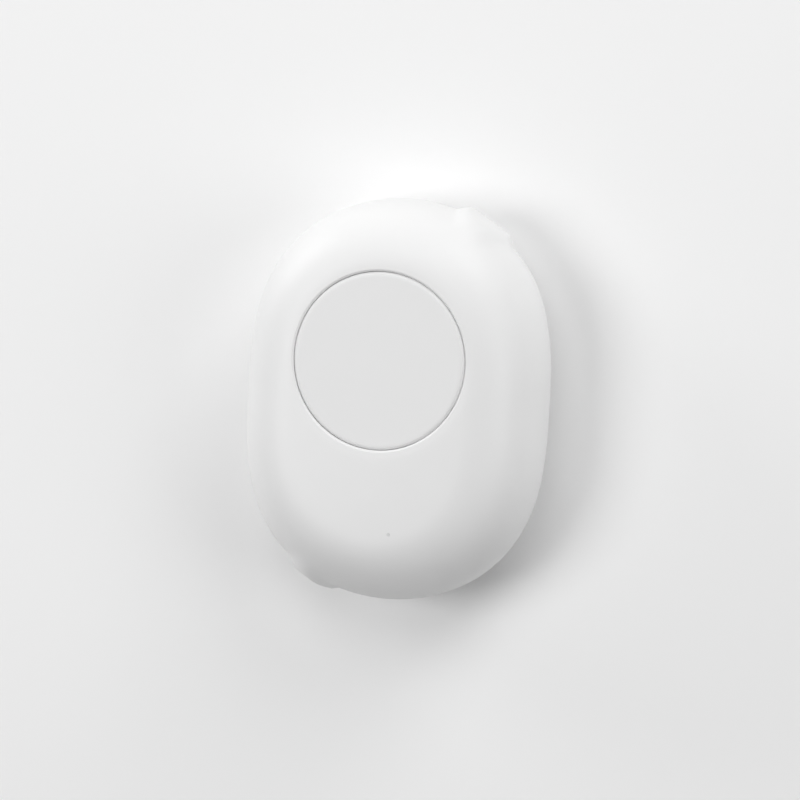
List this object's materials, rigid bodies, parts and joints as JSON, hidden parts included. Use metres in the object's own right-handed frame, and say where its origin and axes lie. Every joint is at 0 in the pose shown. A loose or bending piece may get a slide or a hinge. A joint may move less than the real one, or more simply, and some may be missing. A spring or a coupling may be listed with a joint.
{
  "type": "bluetooth tracker tag",
  "caption": "Pebble-shaped tracker tag with one large round press button, a sounder, an indicator light, flat lugs at two opposite corners and a coin-slot battery door on its back.",
  "frame": {"origin": "middle of the flat back face's outline box, at the base", "axes": "+Z out of the front face, the way the button faces; +Y along the length, to the end nearest the button; +X to the right as seen from the front"},
  "size_m": [0.0362, 0.047, 0.016],
  "materials": {
    "case_plastic": "satin moulded white",
    "button_plastic": "satin moulded white",
    "inner_plastic": "matt moulded light grey",
    "silicone": "matt moulded silicone",
    "steel": "rolled and stamped",
    "gilt_spring": "plated spring strip",
    "board_laminate": "satin solder mask",
    "black_plastic": "matt moulded black",
    "ceramic_grey": "fired, matt",
    "clear_plastic": "milky translucent",
    "brass_disc": "rolled"
  },
  "bodies": {
    "case": {"front_shell": "case_plastic", "rear_cover": "case_plastic", "battery_tray": "inner_plastic", "button_guide": "inner_plastic", "case_seal": "silicone", "return_ring": "silicone", "case_screw_1": "steel", "case_screw_2": "steel", "case_screw_3": "steel", "case_screw_4": "steel", "cell_can": "steel", "cell_cap": "steel", "cell_gasket": "black_plastic", "positive_contact": "gilt_spring", "negative_contact": "gilt_spring", "circuit_board": "board_laminate", "radio_chip": "black_plastic", "crystal": "steel", "motion_sensor": "black_plastic", "chip_antenna": "ceramic_grey", "power_inductor": "black_plastic", "indicator_led": "clear_plastic", "buzzer_case": "black_plastic", "buzzer_diaphragm": "brass_disc", "capacitor_1": "ceramic_grey", "capacitor_2": "ceramic_grey", "capacitor_3": "ceramic_grey", "capacitor_4": "ceramic_grey", "switch_base": "black_plastic", "switch_dome": "steel", "switch_cover": "steel", "light_pipe": "clear_plastic", "sound_membrane": "black_plastic"},
    "button": {"button_cap": "button_plastic"},
    "plunger": {"switch_plunger": "black_plastic"},
    "door": {"battery_door": "case_plastic"},
    "door_ring": {"door_seal": "silicone"}
  },
  "joints": [
    {"name": "button_press", "type": "slide", "parent": "case", "child": "button", "axis": [0, 0, -1], "range_m": [0, 0.0005], "stiffness_N_per_m": 600, "springref_m": -0.002, "deforming": ["return_ring"]},
    {"name": "switch_travel", "type": "slide", "parent": "case", "child": "plunger", "axis": [0, 0, -1], "range_m": [0, 0.0005]},
    {"name": "door_lift", "type": "slide", "parent": "case", "child": "door_ring", "axis": [0, 0, -1], "range_m": [0, 0.0004]},
    {"name": "door_turn", "type": "hinge", "parent": "door_ring", "child": "door", "pos_m": [0, 0, 0.0014], "axis": [0, 0, -1], "range_deg": [0, 45]}
  ],
  "couplings": [
    {"joint": "switch_travel", "follows": "button_press", "ratio": 1},
    {"joint": "door_turn", "follows": "door_lift", "rad_per_m": 1960}
  ]
}
